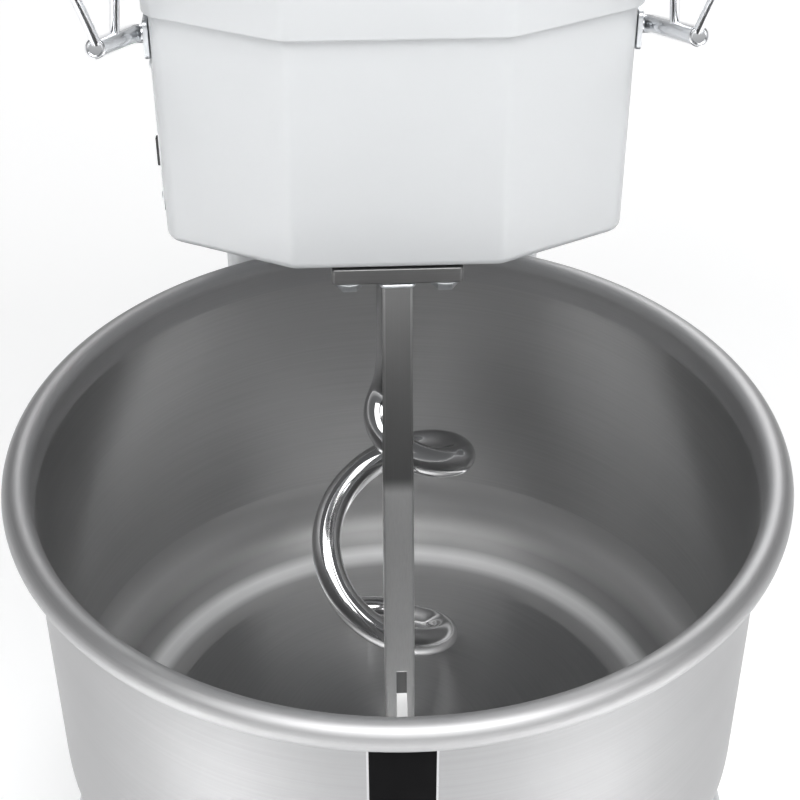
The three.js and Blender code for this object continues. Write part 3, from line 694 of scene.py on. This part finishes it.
def build_bar_foot(foot):
    """Tongue that leans out of the bar's foot between two low flanges, below a short plate. The tongue's
    bright colour is a painted highlight, and the plate's darker steel is a painted reflection.
    """
    mid = 0.0010
    tongue = ((foot, 0.017, 0.0036), (foot + 0.02, 0.0125, 0.0035), (RIM_Z - 0.171, 0.0050, 0.0033),
              (RIM_Z - 0.1655, 0.0020, 0.0032), (RIM_Z - 0.1635, 0.0005, 0.0031))
    verts, faces = loft([strip(z, mid - w, mid + w, ahead, 0.001) for z, ahead, w in tongue])
    piece("bar_blade", verts, faces, TONGUE_HIGHLIGHT, "frame", bevel=0.0005, segments=3)
    flange = ((foot, 0.0010), (RIM_Z - 0.170, 0.0010), (RIM_Z - 0.158, 0.0001))
    for side, s in (("l", -1), ("r", 1)):
        x0, x1 = sorted((s * 0.0085, s * 0.0070))
        verts, faces = loft([strip(z, x0, x1, ahead, 0.0008) for z, ahead in flange])
        piece(f"bar_flange_{side}", verts, faces, LIT_BAR_EDGE, "frame", bevel=0.0003)
    # Thin plate of darker steel where the bar shows a dark reflection: a painted reflection.
    w = 0.0031
    verts, faces = loft([strip(z, mid - w, mid + w, 0.0004, 0.0006, 0.0003, 2)
                         for z in (RIM_Z - 0.163, RIM_Z - 0.147)])
    piece("bar_painted_reflection", verts, faces, DARK_REFLECTION, "frame")


def build_bolt(side):
    name = f"breaker_bolt_{side}"
    x, y, _ = middle(name)
    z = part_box(name)[0].z
    rows = [([(x + p * k, y + q * k) for p, q in hexagon(0.0075)], z + h)
            for k, h in ((0.80, 0.0), (0.93, 0.0006), (1.0, 0.0014), (1.0, 0.0055))]
    verts, faces = loft(rows)
    piece(f"bolt_head_{side}", verts, faces, ZINC, "frame", [name], bevel=0.0003)
    mark = soften([(0.0, z - 0.0001), (0.0046, z - 0.0001), (0.005, z + 0.0004), (0.0, z + 0.0004)], 0.0002)
    lathe(f"bolt_mark_{side}", mark, x, y, TURNED, "frame", sides=32)
    washer = soften(rectangle(0.004, z + 0.0052, 0.0088, z + 0.0060), 0.0002, 3, True)
    lathe(f"bolt_washer_{side}", washer, x, y, ZINC, "frame", sides=48, closed=True)


def build_breaker():
    lo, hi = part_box("breaker_plate")
    plate = soften(rectangle(lo.x, lo.y, hi.x, hi.y), 0.002, 5, True)
    verts, faces = loft([(plate, lo.z), (plate, hi.z)])
    piece("bar_plate", verts, faces, PLATE, "frame", ["breaker_plate"], bevel=0.0009, segments=3)
    foot, top = build_bar()
    build_bar_foot(foot)
    weld = [(x, y, top - 0.0008) for x, y in strip(top, -0.0080, 0.0080, 0, 0.0126, 0.0012)[0]]
    tube("bar_weld", weld + [weld[0]], 0.0011, ZINC, "frame", resolution=4)
    for side in "lr":
        build_bolt(side)


# ---- head, column and base ----
def folded_front(lo, hi, flat, depth):
    """Plan of a casing whose front has a flat middle, `flat` to each side, and two faces folded back."""
    w = hi.x
    return [(-flat, lo.y), (flat, lo.y), (w, lo.y + depth), (w, hi.y), (-w, hi.y), (-w, lo.y + depth)]


def build_louvre(number, wall, z):
    """Pressed bulge over a vent slot of the rear cover, running out into the sheet at both ends."""
    steps, bulge = 8, 0.0045
    arc = [k * math.pi / steps for k in range(steps + 1)]
    rows = []
    for x, out in ((-0.05, 0.0), (-0.046, 1.0), (0.046, 1.0), (0.05, 0.0)):
        rows.append([(x, wall + (0.0002 + bulge * math.sin(a)) * out, z + 0.004 * math.cos(a) + 0.003)
                     for a in arc])
    n = len(arc)
    faces = [[k * n + j, k * n + j + 1, (k + 1) * n + j + 1, (k + 1) * n + j]
             for k in range(len(rows) - 1) for j in range(steps)]
    obj = piece(f"louvre_{number}", [v for row in rows for v in row], faces, WHITE, "frame")
    mod = obj.modifiers.new("thickness", "SOLIDIFY")
    mod.thickness, mod.offset = 0.0008, -1


def side_screws(name, ys, x, z, r):
    """One row of screws on each side of a casing."""
    for i, (s, y) in enumerate([(s, y) for s in (-1, 1) for y in ys]):
        screw(f"{name}_{i + 1}", (s * (x + 0.0002), y, z), (s, 0, 0), r)


def build_casings():
    head = folded_front(head_lo, head_hi, 0.053, 0.032)
    casing("head_casing", head, 0.011, head_lo.z, head_hi.z, "head_shell", low=0.005)
    overhang = lid_hi.x - head_hi.x
    lid = inset(head, -overhang)
    casing("head_lid", lid, 0.013, lid_lo.z, lid_hi.z, "head_cover", low=0.0012, high=0.010)
    plan = rectangle(-column_hi.x, column_lo.y, column_hi.x, column_hi.y)
    casing("column_casing", plan, 0.010, column_lo.z, column_hi.z, "column_shell")
    base = folded_front(base_lo, base_hi, 0.112, 0.070)
    casing("base_casing", base, 0.014, base_lo.z, base_hi.z, "base_shell", low=0.002, high=0.008)


def build_rear_cover():
    lo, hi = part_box("rear_cover")
    plan = soften(rectangle(lo.x, lo.y, hi.x, hi.y), 0.0006, 3, True)
    verts, faces = loft([(plan, z) for z in (lo.z, hi.z)])
    piece("rear_panel", verts, faces, WHITE, "frame", ["rear_cover"], bevel=0.0006)
    for i in range(7):
        build_louvre(i + 1, hi.y, 0.400 + 0.014 * i)
    places = [(x, z) for x in (-0.082, 0.082) for z in (lo.z + 0.012, 0.52, hi.z - 0.012)]
    for i, (x, z) in enumerate(places):
        screw(f"rear_screw_{i + 1}", (x, hi.y + 0.0004, z), (0, 1, 0), 0.004)


def build_feet():
    profile = soften([(0.0, 0.0), (0.0235, 0.0), (0.025, 0.003), (0.021, 0.013), (0.0115, 0.017),
                      (0.011, 0.0297), (0.0, 0.0297)], 0.0012)
    for side in ("fl", "fr", "rl", "rr"):
        node = f"foot_{side}"
        x, y, _ = middle(node)
        lathe(f"rubber_{node}", profile, x, y, RUBBER, "frame", [node], sides=56)
        verts, faces = loft([([(x + p, y + q) for p, q in hexagon(0.0125)], z) for z in (0.0215, 0.0285)])
        piece(f"foot_nut_{side}", verts, faces, ZINC, "frame", bevel=0.0007)


# ---- controls ----
def on_panel(node):
    """Where a control's axis meets the panel, and how far the control stands out."""
    at = middle(node)
    at.x = panel_lo.x
    return at, panel_lo.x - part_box(node)[0].x


def bezel(name, node, r_in, r_out, depth):
    at, _ = on_panel(node)
    ring = soften([(r_in, 0), (r_out, 0), (r_out - 0.0006, depth), (r_in, depth)], 0.0005, 3, True)
    turned(name, ring, at, PANEL_OUT, ZINC, "frame", sides=56, closed=True)


def dots(name, at, radius, angles):
    """Small printed dots on the panel round a dial, at angles from the top."""
    profile = [(0.0, 0.0), (0.0008, 0.0), (0.0007, 0.00015), (0.0, 0.0002)]
    for i, degrees in enumerate(angles):
        a = math.radians(degrees)
        place = at + Vector((0, -radius * math.sin(a), radius * math.cos(a)))
        turned(f"{name}_{i + 1}", profile, place, PANEL_OUT, BLACK, "frame", sides=12)


def build_panel():
    y0, y1, z0, z1 = panel_lo.y, panel_hi.y, panel_lo.z, panel_hi.z
    outline = soften(rectangle(y0, z0, y1, z1), 0.004, 5, True)
    upright_plate("panel_plate", panel_hi.x, panel_lo.x, outline, PANEL,
                  ["control_panel"], 0.0004)
    edge = 0.007
    places = [(y, z) for y in (y0 + edge, y1 - edge) for z in (z0 + edge, z1 - edge)]
    for i, (y, z) in enumerate(places):
        screw(f"panel_screw_{i + 1}", (panel_lo.x - 0.0002, y, z), PANEL_OUT, 0.0028)


def build_buttons():
    for name, body, mat, slot in (("start_button", "start", GREEN, "plastic_green"),
                                  ("stop_button", "stop", RED, "plastic_red")):
        at, out = on_panel(name)
        cap = soften([(0.0, -0.012), (0.0078, -0.012), (0.0079, out - 0.0012), (0.0068, out),
                      (0.0030, out - 0.0006), (0.0, out - 0.0008)], 0.0007)
        turned(f"{body}_cap", cap, at, PANEL_OUT, mat, body, [name], sides=56)
        bezel(f"{body}_bezel", name, 0.0083, 0.0112, 0.0028)
    at, out = on_panel("estop_button")
    mushroom = soften([(0.0, -0.013), (0.0088, -0.013), (0.0088, out - 0.0078), (0.0175, out - 0.0070),
                       (0.018, out - 0.004), (0.0150, out - 0.0008), (0.0, out)], 0.0014)
    turned("estop_cap", mushroom, at, PANEL_OUT, RED, "estop", ["estop_button"], sides=72)
    bezel("estop_bezel", "estop_button", 0.0094, 0.0140, 0.0016)
    at, out = on_panel("power_lamp")
    lens = soften([(0.0, -0.012), (0.005, -0.012), (0.005, 0.0003), (0.0066, 0.0003), (0.0066, out * 0.5),
                   (0.0045, out * 0.9), (0.0, out)], 0.0007)
    turned("lamp_lens", lens, at, PANEL_OUT, LENS, "frame", ["power_lamp"], sides=48)
    bezel("lamp_bezel", "power_lamp", 0.0068, 0.0088, 0.0014)


def build_timer():
    """Fluted knob with a pale pointer, in a ring of dots."""
    at, out = on_panel("timer_knob")
    steps, grip, flute = 96, 0.0146, 0.0006
    rows = []
    for r, h in ((grip - 0.0010, 0.0012), (grip, 0.002), (grip, out - 0.002), (grip - 0.0012, out - 0.0004)):
        row = []
        for k in range(steps):
            a = 2 * math.pi * k / steps
            reach = r - (flute if (k // 3) % 2 else 0)
            row.append(at + Vector((-h, reach * math.cos(a), reach * math.sin(a))))
        rows.append(row)
    verts, faces = skin(rows)
    piece("timer_grip", verts, faces, BLACK, "timer", ["timer_knob"])
    face = at.x - out
    mark = rectangle(face - 0.0003, at.y - 0.0009, face + 0.001, at.y + 0.0009)
    verts, faces = loft([(mark, z) for z in (at.z + 0.003, at.z + 0.0128)])
    piece("timer_mark", verts, faces, LENS, "timer", bevel=0.0002)
    dots("dial_dot", at, 0.0195, range(-120, 121, 20))


def build_selector():
    """Switch with a raised bar across it and three dots."""
    at, out = on_panel("speed_selector")
    skirt = soften([(0.0, -0.010), (0.0038, -0.010), (0.0038, 0.0004), (0.0094, 0.0004),
                    (0.0090, out - 0.0024), (0.0, out - 0.0020)], 0.0007)
    turned("selector_skirt", skirt, at, PANEL_OUT, BLACK, "speed", ["speed_selector"],
           sides=64)
    tip, root = at.x - out, at.x - out + 0.0036
    grip = soften([(tip, at.y - 0.0018), (root, at.y - 0.0022), (root, at.y + 0.0022), (tip, at.y + 0.0018)],
                  0.0006, 3, True)
    verts, faces = loft([(grip, z) for z in (at.z - 0.0084, at.z + 0.0084)])
    piece("selector_bar", verts, faces, BLACK, "speed", bevel=0.0008, segments=3)
    dots("selector_dot", at, 0.013, (-45, 0, 45))


def build_gland():
    at = middle("cable_gland")
    at.x = column_hi.x
    dome = soften([(0.005, -0.010), (0.0095, -0.010), (0.0095, 0.010), (0.0092, 0.0125), (0.0075, 0.0160),
                   (0.005, 0.0160)], 0.0008, 3, True)
    turned("gland_dome", dome, at, (1, 0, 0), BLACK, "frame", ["cable_gland"], sides=56,
           closed=True)
    verts, faces = skin([[at + Vector((h, p * k, q * k)) for p, q in hexagon(0.013)]
                         for h, k in ((0.0003, 1.0), (0.0075, 1.0), (0.0088, 0.93))])
    piece("gland_nut", verts, faces, BLACK, "frame", bevel=0.0006, segments=3)


# ---- guard ----
# Half width and distance from the arms along each hoop, in millimetres, from its root to its middle.
HOOP_OUTER = [(135.6, 3.5), (139, 23), (144.4, 50), (151, 90), (154, 130), (152, 180), (134, 228), (92, 258),
              (46, 270), (0, 273)]
HOOP_INNER = [(131.0, 3.5), (128.4, 26), (125, 60), (121, 100), (109, 145), (80, 175), (42, 187), (0, 190)]


def build_arm(side, s):
    """Tubular arm: it bends out of its pivot and runs forwards to an open end with a pressed cap."""
    a, b = (Vector((p.x * s, p.y, p.z)) for p in (PIVOT, ARM_END))
    along, out = (b - a).normalized(), Vector((s, 0, 0))
    turn = [a - out * 0.0050 * (1 - t) ** 2 + along * 0.0085 * t ** 2 for t in [k / 12 for k in range(13)]]
    line = [a - out * 0.0053] + turn + [a.lerp(b, t) for t in (0.3, 0.6, 0.9)] + [b - along * 0.0012]
    tube(f"arm_tube_{side}", line, ARM_R, CHROME, "guard", [f"guard_arm_{side}"])
    cap = soften([(0.0, -0.0022), (0.0044, -0.0022), (0.0047, -0.0012), (0.0047, -0.0004), (0.0042, 0.0002),
                  (0.0035, 0.0002), (0.0031, -0.0004), (0.0, -0.0003)], 0.0003)
    turned(f"arm_cap_{side}", cap, b, along, CHROME, "guard", sides=56)


def build_bracket(side, s):
    node = f"guard_bracket_{side}"
    lo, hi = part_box(node)
    wall = abs(lo.x if s > 0 else hi.x)
    thick = 0.0027
    outline = soften(rectangle(lo.y, lo.z, hi.y, hi.z), 0.003, 5, True)
    upright_plate(f"bracket_plate_{side}", s * wall, s * (wall + thick), outline, ZINC,
                  [node], 0.0005)
    pin = soften([(0.0, -0.0085), (0.0034, -0.0085), (0.0034, -0.0062), (0.0026, -0.0060), (0.0026, 0.0018),
                  (0.0, 0.0018)], 0.0003)
    at = (s * PIVOT.x, PIVOT.y, PIVOT.z)
    turned(f"bracket_pin_{side}", pin, at, (s, 0, 0), ZINC, "frame", sides=40)
    for i, up in enumerate((0.006, -0.006)):
        place = (s * (wall + thick + 0.0001), PIVOT.y + 0.013, PIVOT.z + up)
        screw(f"bracket_screw_{side}_{i + 1}", place, (s, 0, 0), 0.0026)


def hoop(name, root, tilt, half):
    """Wire hoop in a plane tilted up from the arms, mirrored about the middle."""
    a = math.radians(tilt)
    ahead, up = math.cos(a) / 1000, math.sin(a) / 1000
    right = [Vector((x / 1000, root.y - d * ahead, root.z + d * up)) for x, d in half]
    left = [Vector((-p.x, p.y, p.z)) for p in reversed(right[:-1])]
    tube(name, smooth_line(right + left, 160), HOOP_R, CHROME, "guard", [f"guard_{name}"])


def build_guard():
    for side, s in (("l", -1), ("r", 1)):
        build_arm(side, s)
        build_bracket(side, s)
    hoop("hoop_outer", PIVOT.lerp(ARM_END, 0.95), 67, HOOP_OUTER)
    hoop("hoop_inner", PIVOT.lerp(ARM_END, 0.5), 75, HOOP_INNER)
    for i in range(3):
        lo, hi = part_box(f"guard_rib_{i + 1}")
        x0, x1 = (lo.x, hi.x) if lo.x + hi.x < 0 else (hi.x, lo.x)
        if i == 1:
            x0 = x1 = 0
        near, far = Vector((x0, lo.y, hi.z)), Vector((x1, hi.y, lo.z))
        grow = (far - near).normalized() * 0.0026
        line = smooth_line([near - grow, (near + far) / 2, far + grow], 16)
        tube(f"rib_{i + 1}", line, RIB_R, CHROME, "guard", [f"guard_rib_{i + 1}"])


# ---- pieces whose CAD shape stays ----
KEPT = {
    IRON: "gear_housing bowl_pulley drive_pulley drive_bearing bowl_bearing_housing spiral_bearing_housing",
    ZINC: "base_plate motor_shelf bowl_shaft bowl_nut drive_shaft spiral_shaft",
    TURNED: "bowl_flange bowl_bearing_lower bowl_bearing_upper spiral_bearing_lower spiral_bearing_upper "
            "drive_chain drive_sprocket spiral_sprocket",
    RUBBER: "bowl_belt spiral_seal",
    BLACK: "control_box",
    BLUE: "motor_body motor_fan_cowl motor_terminal_box",
}


def dress_kept():
    for mat, names in KEPT.items():
        for name in names.split():
            data = NODES[name].data
            data.materials.clear()
            data.materials.append(mat)


aim_camera()
build_world()
build_lights()
build_floor()
build_bowl()
build_label()
build_spiral()
build_breaker()
build_casings()
build_rear_cover()
side_screws("lid_screw", (-0.08, 0.12, 0.32), lid_hi.x, lid_lo.z + 0.022, 0.0038)
side_screws("base_screw", (-0.26, 0.02, 0.33), base_hi.x, base_lo.z + 0.018, 0.004)
build_feet()
build_panel()
build_buttons()
build_timer()
build_selector()
build_gland()
build_guard()
dress_kept()
